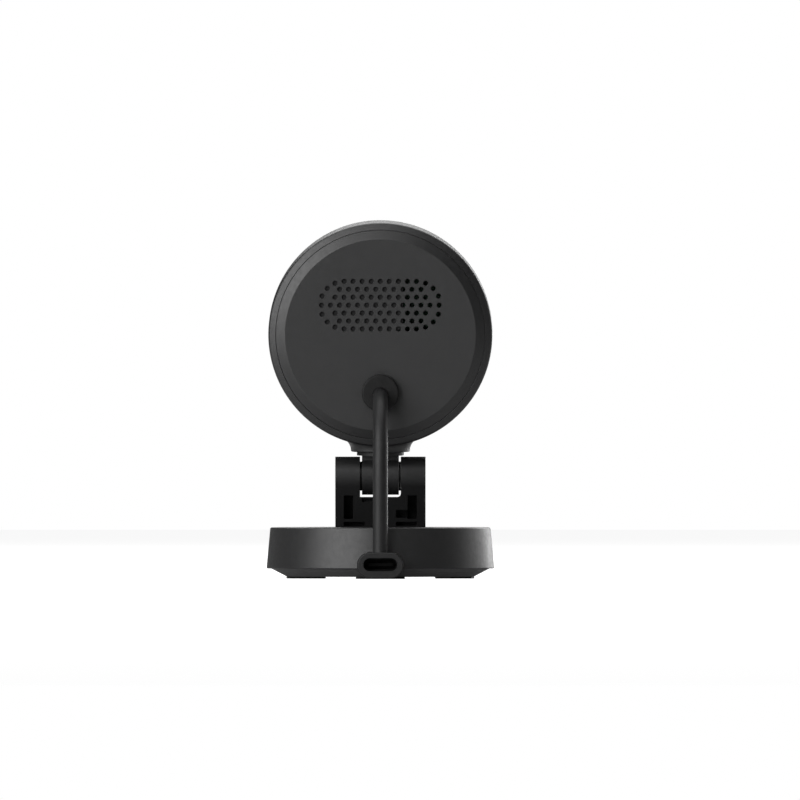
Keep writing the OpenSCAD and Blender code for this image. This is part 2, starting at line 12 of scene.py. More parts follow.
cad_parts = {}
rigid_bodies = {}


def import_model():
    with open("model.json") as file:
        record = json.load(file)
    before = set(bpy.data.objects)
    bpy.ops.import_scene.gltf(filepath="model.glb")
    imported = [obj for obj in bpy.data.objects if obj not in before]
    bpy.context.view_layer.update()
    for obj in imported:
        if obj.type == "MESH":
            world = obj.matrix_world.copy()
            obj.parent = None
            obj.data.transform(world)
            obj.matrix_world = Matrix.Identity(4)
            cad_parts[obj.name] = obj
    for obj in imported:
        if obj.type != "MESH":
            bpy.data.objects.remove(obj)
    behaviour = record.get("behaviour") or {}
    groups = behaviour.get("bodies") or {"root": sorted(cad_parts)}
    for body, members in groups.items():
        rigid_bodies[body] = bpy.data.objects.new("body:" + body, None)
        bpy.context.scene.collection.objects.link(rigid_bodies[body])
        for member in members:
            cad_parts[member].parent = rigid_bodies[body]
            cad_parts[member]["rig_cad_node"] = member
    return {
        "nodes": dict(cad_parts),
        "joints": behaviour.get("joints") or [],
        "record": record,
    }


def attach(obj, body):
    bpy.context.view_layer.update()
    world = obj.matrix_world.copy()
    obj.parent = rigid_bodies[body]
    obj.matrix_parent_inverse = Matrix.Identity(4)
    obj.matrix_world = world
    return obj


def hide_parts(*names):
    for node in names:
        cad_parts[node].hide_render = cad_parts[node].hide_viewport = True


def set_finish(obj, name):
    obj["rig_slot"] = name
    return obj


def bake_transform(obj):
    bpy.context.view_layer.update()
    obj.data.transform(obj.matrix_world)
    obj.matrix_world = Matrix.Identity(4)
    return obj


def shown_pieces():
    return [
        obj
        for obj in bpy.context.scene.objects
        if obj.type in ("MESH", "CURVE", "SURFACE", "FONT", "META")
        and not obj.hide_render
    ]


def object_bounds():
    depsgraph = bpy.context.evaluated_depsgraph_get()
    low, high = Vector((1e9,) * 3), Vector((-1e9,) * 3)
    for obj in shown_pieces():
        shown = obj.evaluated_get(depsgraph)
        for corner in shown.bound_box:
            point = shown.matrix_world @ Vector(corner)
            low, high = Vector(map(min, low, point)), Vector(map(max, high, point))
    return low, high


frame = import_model()
cad_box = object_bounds()

MM = 0.001
X = Vector((1, 0, 0))
Y = Vector((0, 1, 0))
Z = Vector((0, 0, 1))


# ---------- what the frame says ----------


def joint(name):
    return next(j for j in frame["joints"] if j["name"] == name)


def span(node, way):
    """The least and greatest reach of a CAD node along a direction, in millimetres."""
    reach = [v.co.dot(way) / MM for v in frame["nodes"][node].data.vertices]
    return round(min(reach), 2), round(max(reach), 2)


HINGE = Vector(joint("head_tilt")["pos_m"])
NECK = Vector(joint("head_swivel")["axis"]).normalized()
BACK = X.cross(NECK)
HINGE_Z = HINGE.z / MM

HEAD_R = span("front_bezel", X)[1]
HEAD_RISE = round(span("front_bezel", NECK)[1] - HEAD_R - HINGE.dot(NECK) / MM, 1)
BACK_Z = (span("rear_cover", BACK)[1] - span("front_bezel", BACK)[0]) / 2
BASE_LOW_R = span("base_shell", X)[1]
BASE_LOW_Z, BASE_TOP_Z = span("base_shell", Z)
YOKE_X = span("yoke", X)[1]
KNUCKLE_R = HINGE_Z - span("knuckle", Z)[0]
SWIVEL_R = span("knuckle", X)[1]
PORT_BACK_Y, PORT_FRONT_Y = span("port_housing", Y)


def axes(origin, x, y, z):
    """The matrix from millimetres in a local frame to metres in the shared frame."""
    turn = Matrix((x, y, z)).transposed().to_4x4()
    return Matrix.Translation(origin) @ turn @ Matrix.Scale(MM, 4)


AT_BASE = Matrix.Scale(MM, 4)
AT_NECK = axes(HINGE, X, NECK.cross(X), NECK)
AT_HEAD = axes(HINGE + NECK * HEAD_RISE * MM, X, NECK, BACK)
NECK_IN_HEAD = Matrix.Translation((0, -HEAD_RISE, 0)) @ Matrix.Rotation(math.radians(-90), 4, "X")


def head_z(node):
    """The least and greatest reach of a CAD node in the head's Z, towards the back."""
    centre = (HINGE + NECK * HEAD_RISE * MM).dot(BACK) / MM
    return [reach - centre for reach in span(node, BACK)]


# ---------- camera ----------

CAMERA_AWAY = 8.0
VIEW_WIDTH = 0.2144
VIEW_CENTRE = Vector((0.00525, 0, 0.0478))


def make_camera():
    data = bpy.data.cameras.new("camera")
    data.sensor_width = 36
    data.lens = data.sensor_width * CAMERA_AWAY / VIEW_WIDTH
    data.clip_start = 1
    data.clip_end = 60
    camera = bpy.data.objects.new("camera", data)
    camera.location = VIEW_CENTRE - Vector((0, CAMERA_AWAY, 0))
    camera.rotation_euler = (math.radians(90), 0, 0)
    bpy.context.scene.collection.objects.link(camera)
    bpy.context.scene.camera = camera


make_camera()


# ---------- cable ----------

CABLE_R = 2.0
CABLE_SIDES = 40
CABLE_STEP = 0.5
CABLE_ROUTE = [
    (-1.7, 49.5), (-5.1, 49.4), (-8.5, 49.3), (-11.9, 49.2), (-15.3, 49.1),
    (-18.2, 48.8), (-21, 48), (-23.7, 46.6), (-26.2, 44.6), (-28.5, 42),
    (-30.4, 38.9), (-31.8, 35.5), (-32.7, 31.9), (-33.2, 28.2), (-33.5, 24.4),
    (-33.6, 20.5), (-33.6, 16.5), (-33.6, 12.5), (-33.5, 9), (-33.5, 6),
]
CABLE_SPLIT = 31.0
BOOT_FACE = Vector((0, -17.2, 49))
HELD_IN_SOCKET = 3


def smooth_route(points, step):
    """A Catmull-Rom curve through the points, cut into equal steps."""
    points = [Vector((0, y, z)) for y, z in points]
    ends = [2 * points[0] - points[1], *points, 2 * points[-1] - points[-2]]
    fine = []
    for a, b, c, d in zip(ends, ends[1:], ends[2:], ends[3:]):
        for i in range(40):
            t = i / 40
            fine.append(0.5 * (2 * b + (c - a) * t + (2 * a - 5 * b + 4 * c - d) * t ** 2
                               + (3 * b - a - 3 * c + d) * t ** 3))
    fine.append(points[-1])
    reach = [0]
    for a, b in zip(fine, fine[1:]):
        reach.append(reach[-1] + (b - a).length)
    count = round(reach[-1] / step)
    even, k = [], 0
    for i in range(count + 1):
        want = reach[-1] * i / count
        while k < len(fine) - 2 and reach[k + 1] < want:
            k += 1
        share = (want - reach[k]) / (reach[k + 1] - reach[k])
        even.append(fine[k].lerp(fine[k + 1], share))
    return even, reach[-1] / count


def tube(bm, path, radius, sides):
    """A closed tube in the plane x = 0, with a ring at each point of the path."""
    rings = []
    for i, p in enumerate(path):
        way = (path[min(i + 1, len(path) - 1)] - path[max(i - 1, 0)]).normalized()
        side = way.cross(X)
        turns = [2 * math.pi * k / sides for k in range(sides)]
        rings.append([bm.verts.new(p + radius * (math.cos(a) * X + math.sin(a) * side)) for a in turns])
    for a, b in zip(rings, rings[1:]):
        for k in range(sides):
            m = (k + 1) % sides
            bm.faces.new((a[k], a[m], b[m], b[k]))
    bm.faces.new(rings[0])
    bm.faces.new(rings[-1][::-1])


def new_object(name, bm, at):
    bmesh.ops.recalc_face_normals(bm, faces=bm.faces)
    mesh = bpy.data.meshes.new(name)
    bm.to_mesh(mesh)
    bm.free()
    mesh.transform(at)
    obj = bpy.data.objects.new(name, mesh)
    bpy.context.scene.collection.objects.link(obj)
    return obj


def smooth(obj, degrees=30):
    for polygon in obj.data.polygons:
        polygon.use_smooth = True
    obj.data.set_sharp_from_angle(angle=math.radians(degrees))


def cable_piece(name, path, bodies, start, end, **facts):
    """One stretch of the cable, a tube along the path; the bodies, start, end and other facts that it is
    given are not used.
    """
    bm = bmesh.new()
    tube(bm, path, CABLE_R, CABLE_SIDES)
    stretch = new_object(name, bm, AT_BASE)
    smooth(stretch, 60)
    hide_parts("cable")
    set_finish(stretch, "cable_jacket")
    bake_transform(stretch)


def make_cable():
    """Two stretches that meet behind the head."""
    path, step = smooth_route(CABLE_ROUTE, CABLE_STEP)
    middle = round(CABLE_SPLIT / step)
    cable_piece("cable_upper", path[:middle + 1], ("knuckle", "head"), start=path[middle],
                end=BOOT_FACE, exit=BOOT_FACE * MM)
    cable_piece("cable_lower", path[middle:], ("base", "knuckle"), start=path[-1] + HELD_IN_SOCKET * Z,
                end=path[middle], exit=path[middle] * MM)


make_cable()


# ---------- shapes ----------

STEPS = 192
PAST = 1.0      # how far a cutter reaches past the solid that it cuts
SUNK = 0.2      # how far a post is sunk into the wall that it stands on


def arc(centre, radius, first, last, steps=8):
    """Points of an arc in a plane, angles in degrees."""
    turns = [math.radians(first + (last - first) * i / steps) for i in range(steps + 1)]
    return [(centre[0] + radius * math.cos(a), centre[1] + radius * math.sin(a)) for a in turns]


def polar(radius, degrees):
    return radius * math.cos(math.radians(degrees)), radius * math.sin(math.radians(degrees))


def stadium(w, h, y=0.0):
    """A wide slot with round ends, centred on x = 0."""
    flat = (w - h) / 2
    return arc((flat, y), h / 2, -90, 90, 24) + arc((-flat, y), h / 2, 90, 270, 24)


def band(r0, r1, z0, z1):
    """The outline of a plain ring, as (radius, z) points."""
    return [(r0, z0), (r1, z0), (r1, z1), (r0, z1)]


def lipped_hole(r, lip, z0, top):
    """The outline of a cutter for a hole whose mouth, at the top, has a small chamfer."""
    return [(0, z0), (r, z0), (r, top - lip), (r + lip, top), (r + lip, top + PAST), (0, top + PAST)]


def made(bm):
    """A scratch object, still in millimetres, from a bmesh."""
    return new_object("scratch", bm, Matrix())


def lathe(profile, at=(0, 0), steps=STEPS, bm=None):
    """Turns a closed outline of (radius, z) points about the Z axis through at."""
    bm = bm or bmesh.new()
    rings = []
    for r, z in profile:
        count = steps if r > 1e-6 else 1
        turns = [2 * math.pi * k / steps for k in range(count)]
        rings.append([bm.verts.new((at[0] + r * math.cos(a), at[1] + r * math.sin(a), z)) for a in turns])
    for a, b in zip(rings, rings[1:] + rings[:1]):
        if len(a) == len(b) == 1:
            continue
        for k in range(steps):
            m = (k + 1) % steps
            corners = (a[k % len(a)], a[m % len(a)], b[m % len(b)], b[k % len(b)])
            bm.faces.new(dict.fromkeys(corners))
    return bm


def rod(r, z0, z1, at=(0, 0), steps=64, bm=None):
    return lathe([(0, z0), (r, z0), (r, z1), (0, z1)], at, steps, bm)


def rods(r, z0, z1, places):
    bm = bmesh.new()
    for at in places:
        rod(r, z0, z1, at, bm=bm)
    return bm


def prism(outline, z0, z1):
    """A straight-sided solid on an outline of (x, y) points."""
    bm = bmesh.new()
    low = [bm.verts.new((x, y, z0)) for x, y in outline]
    high = [bm.verts.new((x, y, z1)) for x, y in outline]
    for k in range(len(outline)):
        m = (k + 1) % len(outline)
        bm.faces.new((low[k], low[m], high[m], high[k]))
    bm.faces.new(low[::-1])
    bm.faces.new(high)
    return bm


def block(x0, x1, y0, y1, z0, z1):
    return prism([(x0, y0), (x1, y0), (x1, y1), (x0, y1)], z0, z1)


def round_plate(x0, x1, y0, y1, z0, z1, corner):
    """A plate with round corners."""
    ends = ((x1, y1, 0, -1, -1), (x0, y1, 90, 1, -1), (x0, y0, 180, 1, 1), (x1, y0, 270, -1, 1))
    outline = []
    for x, y, first, sx, sy in ends:
        outline += arc((x + sx * corner, y + sy * corner), corner, first, first + 90, 6)
    return prism(outline, z0, z1)


def turned(bm, matrix):
    bmesh.ops.transform(bm, matrix=matrix, verts=bm.verts)
    return bm


def across(bm):
    """Turns an outline drawn in (y, z) and raised along Z so that it runs along X."""
    return turned(bm, Matrix(((0, 0, 1, 0), (1, 0, 0, 0), (0, 1, 0, 0), (0, 0, 0, 1))))


def settle(obj):
    """Applies an object's modifiers."""
    seen = bpy.context.evaluated_depsgraph_get()
    mesh = bpy.data.meshes.new_from_object(obj.evaluated_get(seen))
    obj.modifiers.clear()
    obj.data = mesh


def combine(obj, operation, *others):
    """Joins the other solids to obj, or cuts them out of it."""
    for other in others:
        step = obj.modifiers.new("solid", "BOOLEAN")
        step.operation = operation
        step.solver = "EXACT"
        step.object = other
    settle(obj)
    for other in others:
        bpy.data.objects.remove(other)


def join(obj, *bms):
    combine(obj, "UNION", *[made(bm) for bm in bms])


def cut(obj, *bms):
    combine(obj, "DIFFERENCE", *[made(bm) for bm in bms])


def soften(obj, size, steps=3, degrees=30):
    """Rounds the edges that are sharper than an angle."""
    step = obj.modifiers.new("round", "BEVEL")
    step.width = size
    step.segments = steps
    step.limit_method = "ANGLE"
    step.angle_limit = math.radians(degrees)
    step.use_clamp_overlap = True
    step.miter_outer = "MITER_ARC"
    settle(obj)


def piece(name, obj, at, body, slot, node, degrees=35):
    """Names a finished shape, sets it in the frame, and lets it stand for its CAD node."""
    obj.name = name
    obj.data.name = name
    obj.data.transform(at)
    smooth(obj, degrees)
    level = obj.modifiers.new("shading", "WEIGHTED_NORMAL")
    level.keep_sharp = True
    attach(obj, body)
    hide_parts(node)
    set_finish(obj, slot)


# ---------- head ----------

WALL_T = 1.8
SEAT_GAP = 0.1
FRONT_Z = -BACK_Z
FLAT_R = 25.6
BEVEL_SLOPE = 0.51
BEVEL_TILT = math.degrees(math.atan(BEVEL_SLOPE))
PARTING_R = 28.0
PARTING_GAP = 0.1
PARTING_ROUND = 0.05
COVER_R = PARTING_R - PARTING_GAP / 2
SEAT_R = PARTING_R + PARTING_GAP / 2
COVER_SEAT_Z = BACK_Z - 3.5
INNER_Z = BACK_Z - WALL_T
HOUSING_IN_R = 27.6
HOUSING_CHAMFER = 0.15
BEZEL_BACK_Z = FRONT_Z + 2.3
WEB_Z = FRONT_Z + 9.4
WEB_T = 1.6
BOARD_POST_R = 2.4
BOARD_SCREW_R = 22.5
BOARD_SCREW_ANGLES = (50, 130, 205, 335)
BOARD_Z = WEB_Z + WEB_T + 2.4

WINDOW_R = 24.6
WINDOW_Z = FRONT_Z + 0.5
WINDOW_BACK_Z = FRONT_Z + 1.7
LENS_Y = 4.0
LENS_HOLE_R = 7.1
LENS_ROOM_R = 13.2
LENS_FRONT_Z = FRONT_Z + 0.1
GLASS_DEEP = 3.6
LIGHT_Y = -16.5
LIGHT_HOLE_R = 0.85
MICROPHONE_Y = 20.5
MICROPHONE_HOLE_R = 0.5

GRILLE_R = 0.64
GRILLE_PITCH = 2.42
GRILLE_Y = 7.95
GRILLE_ROWS = (14, 11, 10, 9)
GRILLE_ROW_STEP = 2.12
GRILLE_END_X = 4 * GRILLE_PITCH
MESH_H = 13.8

BOOT_Y = -15.5
BOOT_R = 4.95
BOOT_NECK_R = 3.9
BOOT_IN = 3.2
BOOT_OUT = 3.2
CABLE_Y = BOOT_Y - 0.6

NECK_R = 7.9
NECK_FILLET = 3.4
FLANGE_H = 6.6
BOSS_R = 6.5
BOSS_H = 11.75
SPIGOT_R = 3.5


def bevel_z(r):
    return BACK_Z - (r - FLAT_R) * BEVEL_SLOPE


def neck_profile():
    """The neck's outline from the flange up, flared by a fillet into the round of the head."""
    foot_r = 0.3
    x = NECK_R + NECK_FILLET
    h = HEAD_RISE - math.sqrt((HEAD_R + NECK_FILLET) ** 2 - x ** 2)
    meets = math.degrees(math.atan2(HEAD_RISE - h, x))
    flare = arc((x, h), NECK_FILLET, 180, 180 - meets, 16)
    foot = arc((NECK_R - foot_r, FLANGE_H + foot_r), foot_r, -90, 0, 4)
    return [(0, FLANGE_H), *foot, *flare, (0, flare[-1][1])]


def housing_profile():
    """The round wall's outline, from the bezel's seat to the rear cover's."""
    edge_r = 1.0
    edge_z = bevel_z(HEAD_R - 0.7 * edge_r) - 0.85 * edge_r
    return [(HOUSING_IN_R, BEZEL_BACK_Z),
            (HEAD_R - HOUSING_CHAMFER, BEZEL_BACK_Z),
            (HEAD_R, BEZEL_BACK_Z + HOUSING_CHAMFER),
            *arc((HEAD_R - edge_r, edge_z), edge_r, 0, 90 - BEVEL_TILT, 10),
            *arc((SEAT_R + PARTING_ROUND, bevel_z(SEAT_R) - 1.2 * PARTING_ROUND), PARTING_ROUND,
                 90 - BEVEL_TILT, 180, 4),
            (SEAT_R, COVER_SEAT_Z),
            (HOUSING_IN_R, COVER_SEAT_Z)]


def make_housing():
    """The round wall, the web across it with its board posts, and the neck below."""
    room_x, room_y, room_h = 7, 12, 3.4
    web_r = HOUSING_IN_R + 0.5
    housing = made(lathe(housing_profile(), steps=2 * STEPS))
    posts = [polar(BOARD_SCREW_R, angle) for angle in BOARD_SCREW_ANGLES]
    join(housing,
         rod(web_r, WEB_Z, WEB_Z + WEB_T, steps=2 * STEPS),
         turned(lathe(neck_profile()), NECK_IN_HEAD),
         turned(rod(BOSS_R, FLANGE_H + 1, BOSS_H), NECK_IN_HEAD),
         rods(BOARD_POST_R, WEB_Z + SUNK, BOARD_Z, posts))
    cut(housing,
        turned(rod(SPIGOT_R + 0.05, 0, BOSS_H + 5), NECK_IN_HEAD),
        turned(block(-room_x, room_x, -room_y, room_y, BOSS_H, BOSS_H + room_h), NECK_IN_HEAD),
        rod(LENS_ROOM_R, WEB_Z - PAST, WEB_Z + WEB_T + PAST, (0, LENS_Y)))
    piece("housing_shell", housing, AT_HEAD, "head", "matte_black", "head_housing")


def grille_points():
    """Centres of the grille's holes: rows that get shorter, and an arc round each end."""
    for row in range(-3, 4):
        count = GRILLE_ROWS[abs(row)]
        for i in range(count):
            yield (i - (count - 1) / 2) * GRILLE_PITCH, GRILLE_Y + row * GRILLE_ROW_STEP
    for side in (-1, 1):
        for angle in (22.5, 45, 67.5):
            x, y = polar(3 * GRILLE_ROW_STEP, angle)
            yield side * (GRILLE_END_X + x), GRILLE_Y + y
            yield side * (GRILLE_END_X + x), GRILLE_Y - y


def grille_holes():
    holes = bmesh.new()
    for at in grille_points():
        lathe(lipped_hole(GRILLE_R, 0.1, INNER_Z - PAST, BACK_Z), at, 32, holes)
    return holes


def mesh_pocket():
    """The cutter for the pocket that the speaker's mesh lies in, behind the grille."""
    spare = 0.2
    left, right = span("speaker_mesh", X)
    half = MESH_H / 2 + spare
    return round_plate(left - spare, right + spare, GRILLE_Y - half, GRILLE_Y + half,
                       INNER_Z - PAST, head_z("speaker_mesh")[1] + SEAT_GAP, 2)


def cover_profile():
    """The cover's outline: flat in the middle, then the bevel down to the parting line."""
    edge_r, rim_t = 0.6, 1.4
    return [(0, INNER_Z),
            (0, BACK_Z),
            *arc((FLAT_R - edge_r * math.tan(math.radians(BEVEL_TILT / 2)), BACK_Z - edge_r), edge_r,
                 90, 90 - BEVEL_TILT, 4),
            *arc((COVER_R - PARTING_ROUND, bevel_z(COVER_R) - 0.6 * PARTING_ROUND), PARTING_ROUND,
                 90 - BEVEL_TILT, 0, 4),
            (COVER_R, COVER_SEAT_Z + SEAT_GAP),
            (COVER_R - rim_t, COVER_SEAT_Z + SEAT_GAP),
            (FLAT_R - edge_r, INNER_Z)]


def make_rear_cover():
    """The cover, its skirt inside the housing, and its holes for the grille and the boot."""
    skirt_r, skirt_t, skirt_h = HOUSING_IN_R - 0.2, 1.1, 1.8
    skirt = band(skirt_r - skirt_t, skirt_r, COVER_SEAT_Z - skirt_h, COVER_SEAT_Z + 0.3)
    cover = made(lathe(cover_profile(), steps=2 * STEPS))
    join(cover, lathe(skirt, steps=2 * STEPS))
    cut(cover, grille_holes(), mesh_pocket(), rod(BOOT_NECK_R + 0.03, 0, BACK_Z + PAST, (0, BOOT_Y)))
    piece("cover_shell", cover, AT_HEAD, "head", "matte_black", "rear_cover")


def make_boot():
    """The round rubber boot, clipped through the cover, with the cable's hole a little off its centre."""
    round_r, corner, spare, lip = 0.5, 0.2, 0.03, 0.06
    low, top = BACK_Z - BOOT_IN, BACK_Z + BOOT_OUT
    profile = [(0, low),
               (BOOT_R, low),
               (BOOT_R, INNER_Z - spare),
               (BOOT_NECK_R, INNER_Z - spare),
               (BOOT_NECK_R, BACK_Z + spare),
               *arc((BOOT_R - corner, BACK_Z + spare + corner), corner, -90, 0, 4),
               *arc((BOOT_R - round_r, top - round_r), round_r, 0, 90, 12),
               (0, top)]
    boot = made(lathe(profile, (0, BOOT_Y)))
    cut(boot, lathe(lipped_hole(CABLE_R + spare, lip, 0, top), (0, CABLE_Y), 64))
    piece("boot_rubber", boot, AT_HEAD, "head", "black_rubber", "cable_boot")


def make_window():
    """The gloss front window, with holes for the lens, the light and the microphone."""
    lip, z0, z1 = 0.12, WINDOW_Z, WINDOW_BACK_Z
    edge = arc((WINDOW_R - lip, z0 + lip), lip, -90, 0, 4)
    window = made(lathe([(0, z0), *edge, (WINDOW_R, z1), (0, z1)], steps=2 * STEPS))
    holes = bmesh.new()
    for y, r in ((LENS_Y, LENS_HOLE_R), (LIGHT_Y, LIGHT_HOLE_R), (MICROPHONE_Y, MICROPHONE_HOLE_R)):
        mouth = [(0, z0 - PAST), (r + lip, z0 - PAST), (r + lip, z0), (r, z0 + lip)]
        lathe([*mouth, (r, z1 + PAST), (0, z1 + PAST)], (0, y), 96, holes)
    cut(window, holes)
    piece("window_panel", window, AT_HEAD, "head", "window_gloss", "front_window")


def make_bezel():
    """The front ring, with a spigot into the housing and a ledge behind the window."""
    round_r, lip_r, ledge, spigot_h = 1.6, 0.4, 1.4, 1.8
    in_r = WINDOW_R + SEAT_GAP
    low = BEZEL_BACK_Z - SEAT_GAP
    ledge_z = WINDOW_BACK_Z + SEAT_GAP
    ring = [(in_r, low),
            (in_r, FRONT_Z + lip_r),
            *arc((in_r + SEAT_GAP + lip_r, FRONT_Z + lip_r), lip_r, 180, 270, 5),
            *arc((HEAD_R - round_r, FRONT_Z + round_r), round_r, 270, 360, 14),
            (HEAD_R, low - HOUSING_CHAMFER),
            (HEAD_R - HOUSING_CHAMFER, low)]
    bezel = made(lathe(ring, steps=2 * STEPS))
    spigot = band(in_r, HOUSING_IN_R - SEAT_GAP, low - 0.1, BEZEL_BACK_Z + spigot_h)
    join(bezel,
         lathe(spigot, steps=2 * STEPS),
         lathe(band(WINDOW_R - ledge, in_r + 0.1, ledge_z, ledge_z + ledge), steps=2 * STEPS))
    piece("bezel_ring", bezel, AT_HEAD, "head", "matte_black", "front_bezel")


def make_barrel():
    """The lens barrel, with fine light-trap steps down its mouth to the glass."""
    head_r, head_deep, body_r, bore_r, corner = 7.0, 2.6, 6.0, 3.2, 0.2
    mouth_r, glass_r, mouth_deep, steps = 6.4, 4.6, 1.5, 6
    front, end = LENS_FRONT_Z, WEB_Z - 1.4
    treads = []
    for i in range(steps):
        z = front + mouth_deep * (1 - i / steps)
        treads += [(glass_r + (mouth_r - glass_r) * k / steps, z) for k in (i, i + 1)]
    profile = [(bore_r, end),
               (bore_r, front + GLASS_DEEP),
               (glass_r, front + GLASS_DEEP),
               *treads,
               (mouth_r, front),
               *arc((head_r - corner, front + corner), corner, -90, 0, 4),
               (head_r, front + head_deep),
               (body_r, front + head_deep),
               (body_r, end)]
    barrel = made(lathe(profile, (0, LENS_Y)))
    piece("barrel_body", barrel, AT_HEAD, "head", "inner_black", "lens_barrel")


def make_glass():
    """The outer lens, with a domed front face."""
    dome_r, edge_r, edge_t = 7.0, 4.5, 1.2
    seat = LENS_FRONT_Z + GLASS_DEEP - 0.1
    lean = math.degrees(math.asin(edge_r / dome_r))
    top = seat - edge_t - dome_r * (1 - math.cos(math.radians(lean)))
    dome = arc((0, top + dome_r), dome_r, 270 + lean, 270, 24)
    glass = made(lathe([(0, seat), (edge_r, seat), *dome[:-1], (0, top)], (0, LENS_Y)))
    piece("glass_dome", glass, AT_HEAD, "head", "lens_glass", "lens_glass", degrees=50)


# ---------- hinge ----------

EAR_R = 5.22
BACK_SLOPE = math.radians(33)
FRONT_SLOPE = math.radians(22)
SLOT_X = 5.45
SLOT_FLOOR_Z = HINGE_Z - 5.6
KNUCKLE_X = 4.95
BOLT_HOLE_R = 1.55
CORE_X = 7.3
POST_X = 4.2
CAP_R = 3.9
CAP_T = 0.8
SWIVEL_T = 1.0
HINGE_ROUND = 0.08
TO_HINGE = Matrix.Translation((0, 0, HINGE_Z))
LYING = Matrix.Rotation(math.radians(90), 4, "X")


def yoke_back(z):
    """Where the sloped back face, which leaves the ears' round at a tangent, is at a height."""
    start_y, start_z = -EAR_R * math.cos(BACK_SLOPE), HINGE_Z - EAR_R * math.sin(BACK_SLOPE)
    return start_y + (start_z - z) * math.tan(BACK_SLOPE)


def yoke_front(z):
    """Where the sloped front face is at a height."""
    start_y, start_z = EAR_R * math.cos(FRONT_SLOPE), HINGE_Z + EAR_R * math.sin(FRONT_SLOPE)
    return start_y + (start_z - z) * math.tan(FRONT_SLOPE)


def sloped_block(x0, x1, z0, z1, deep, bm):
    """Adds a cutter from outside the yoke's back face to a depth behind it."""
    part = prism([(yoke_back(z0) - 3, z0), (yoke_back(z0) + deep, z0), (yoke_back(z1) + deep, z1),
                  (yoke_back(z1) - 3, z1)], x0, x1)
    across(part)
    scratch = bpy.data.meshes.new("scratch")
    part.to_mesh(scratch)
    part.free()
    bm.from_mesh(scratch)
    bpy.data.meshes.remove(scratch)


def yoke_cores():
    """The cored pockets: a tall one beside each side wall, and a low one across each half of the foot."""
    side_x = YOKE_X - 2.3
    tall = (CORE_X, 11.5, 5.2, 4.5)
    low = (POST_X, 13.4, 12.3, 3.0)
    cores = bmesh.new()
    for inner_x, drop_to, drop_from, deep in (tall, low):
        z0, z1 = HINGE_Z - drop_to, HINGE_Z - drop_from
        sloped_block(inner_x, side_x, z0, z1, deep, cores)
        sloped_block(-side_x, -inner_x, z0, z1, deep, cores)
    return cores


def yoke_recesses():
    """The two small recesses that make the yoke's left and right differ."""
    recesses = bmesh.new()
    sloped_block(POST_X, CORE_X + 0.1, HINGE_Z - 11.2, HINGE_Z - 9.1, 3.0, recesses)
    sloped_block(-5.0, -1.8, SLOT_FLOOR_Z - 1.3, SLOT_FLOOR_Z - 0.4, 1.2, recesses)
    return recesses


def cap_seats():
    spare = 0.1
    seats = bmesh.new()
    for side in (-1, 1):
        z0, z1 = sorted((side * (YOKE_X - CAP_T - spare), side * (YOKE_X + PAST)))
        rod(CAP_R + spare, z0, z1, steps=96, bm=seats)
    return turned(across(seats), TO_HINGE)


def make_yoke():
    """Two ears on a foot that slopes forwards, cored from behind."""
    fillet, above = 0.9, HINGE_Z + 20
    outline = [(yoke_front(BASE_TOP_Z), BASE_TOP_Z),
               *arc((0, HINGE_Z), EAR_R, math.degrees(FRONT_SLOPE), 180 + math.degrees(BACK_SLOPE), 40),
               (yoke_back(BASE_TOP_Z), BASE_TOP_Z)]
    slot = [(-SLOT_X, SLOT_FLOOR_Z),
            *arc((SLOT_X - fillet, SLOT_FLOOR_Z + fillet), fillet, 270, 360, 6),
            (SLOT_X, above),
            (-SLOT_X, above)]
    yoke = made(across(prism(outline, -YOKE_X, YOKE_X)))
    cut(yoke, turned(prism(slot, -20, 20), LYING), yoke_cores(), yoke_recesses(), cap_seats())
    soften(yoke, HINGE_ROUND, 2)
    piece("yoke_body", yoke, AT_BASE, "base", "hinge_black", "yoke")


def make_caps():
    """The plain discs that close the ears' ends."""
    round_r = 0.2
    profile = [(0, -CAP_T), (CAP_R, -CAP_T), *arc((CAP_R - round_r, -round_r), round_r, 0, 90, 5), (0, 0)]
    caps = bmesh.new()
    for side in (-1, 1):
        lathe([(r, side * (YOKE_X + z)) for r, z in profile], steps=96, bm=caps)
    caps = made(turned(across(caps), TO_HINGE))
    piece("cap_discs", caps, AT_BASE, "base", "hinge_black", "hinge_caps")


def make_washers():
    """The two washers that close the gaps beside the knuckle, but for a hair's breadth."""
    spare = 0.005
    outer_r = span("hinge_washers", Z)[1] - HINGE_Z
    washers = bmesh.new()
    for side in (-1, 1):
        ring = band(BOLT_HOLE_R, outer_r, side * (KNUCKLE_X + spare), side * (SLOT_X - spare))
        lathe(ring, steps=96, bm=washers)
    washers = made(turned(across(washers), TO_HINGE))
    piece("washer_pair", washers, AT_BASE, "base", "hinge_black", "hinge_washers")


def make_knuckle():
    """The barrel on the hinge bolt, its flat stem, and the swivel's disc and spigot."""
    stem_y, seam, screw_hole_r, screw_hole_low = 2.5, 0.03, 1.05, 5.2
    knuckle = made(across(rod(KNUCKLE_R, -KNUCKLE_X, KNUCKLE_X, steps=96)))
    join(knuckle, block(-KNUCKLE_X, KNUCKLE_X, -stem_y, stem_y, 0, FLANGE_H - SWIVEL_T + 0.01))
    soften(knuckle, HINGE_ROUND, 2)
    join(knuckle,
         rod(SWIVEL_R, FLANGE_H - SWIVEL_T, FLANGE_H - seam, steps=96),
         rod(SPIGOT_R, FLANGE_H - 0.5, BOSS_H + seam))
    cut(knuckle,
        across(rod(BOLT_HOLE_R, -KNUCKLE_X - PAST, KNUCKLE_X + PAST)),
        rod(screw_hole_r, screw_hole_low, BOSS_H + PAST))
    piece("knuckle_body", knuckle, AT_NECK, "knuckle", "hinge_black", "knuckle")


# ---------- base ----------

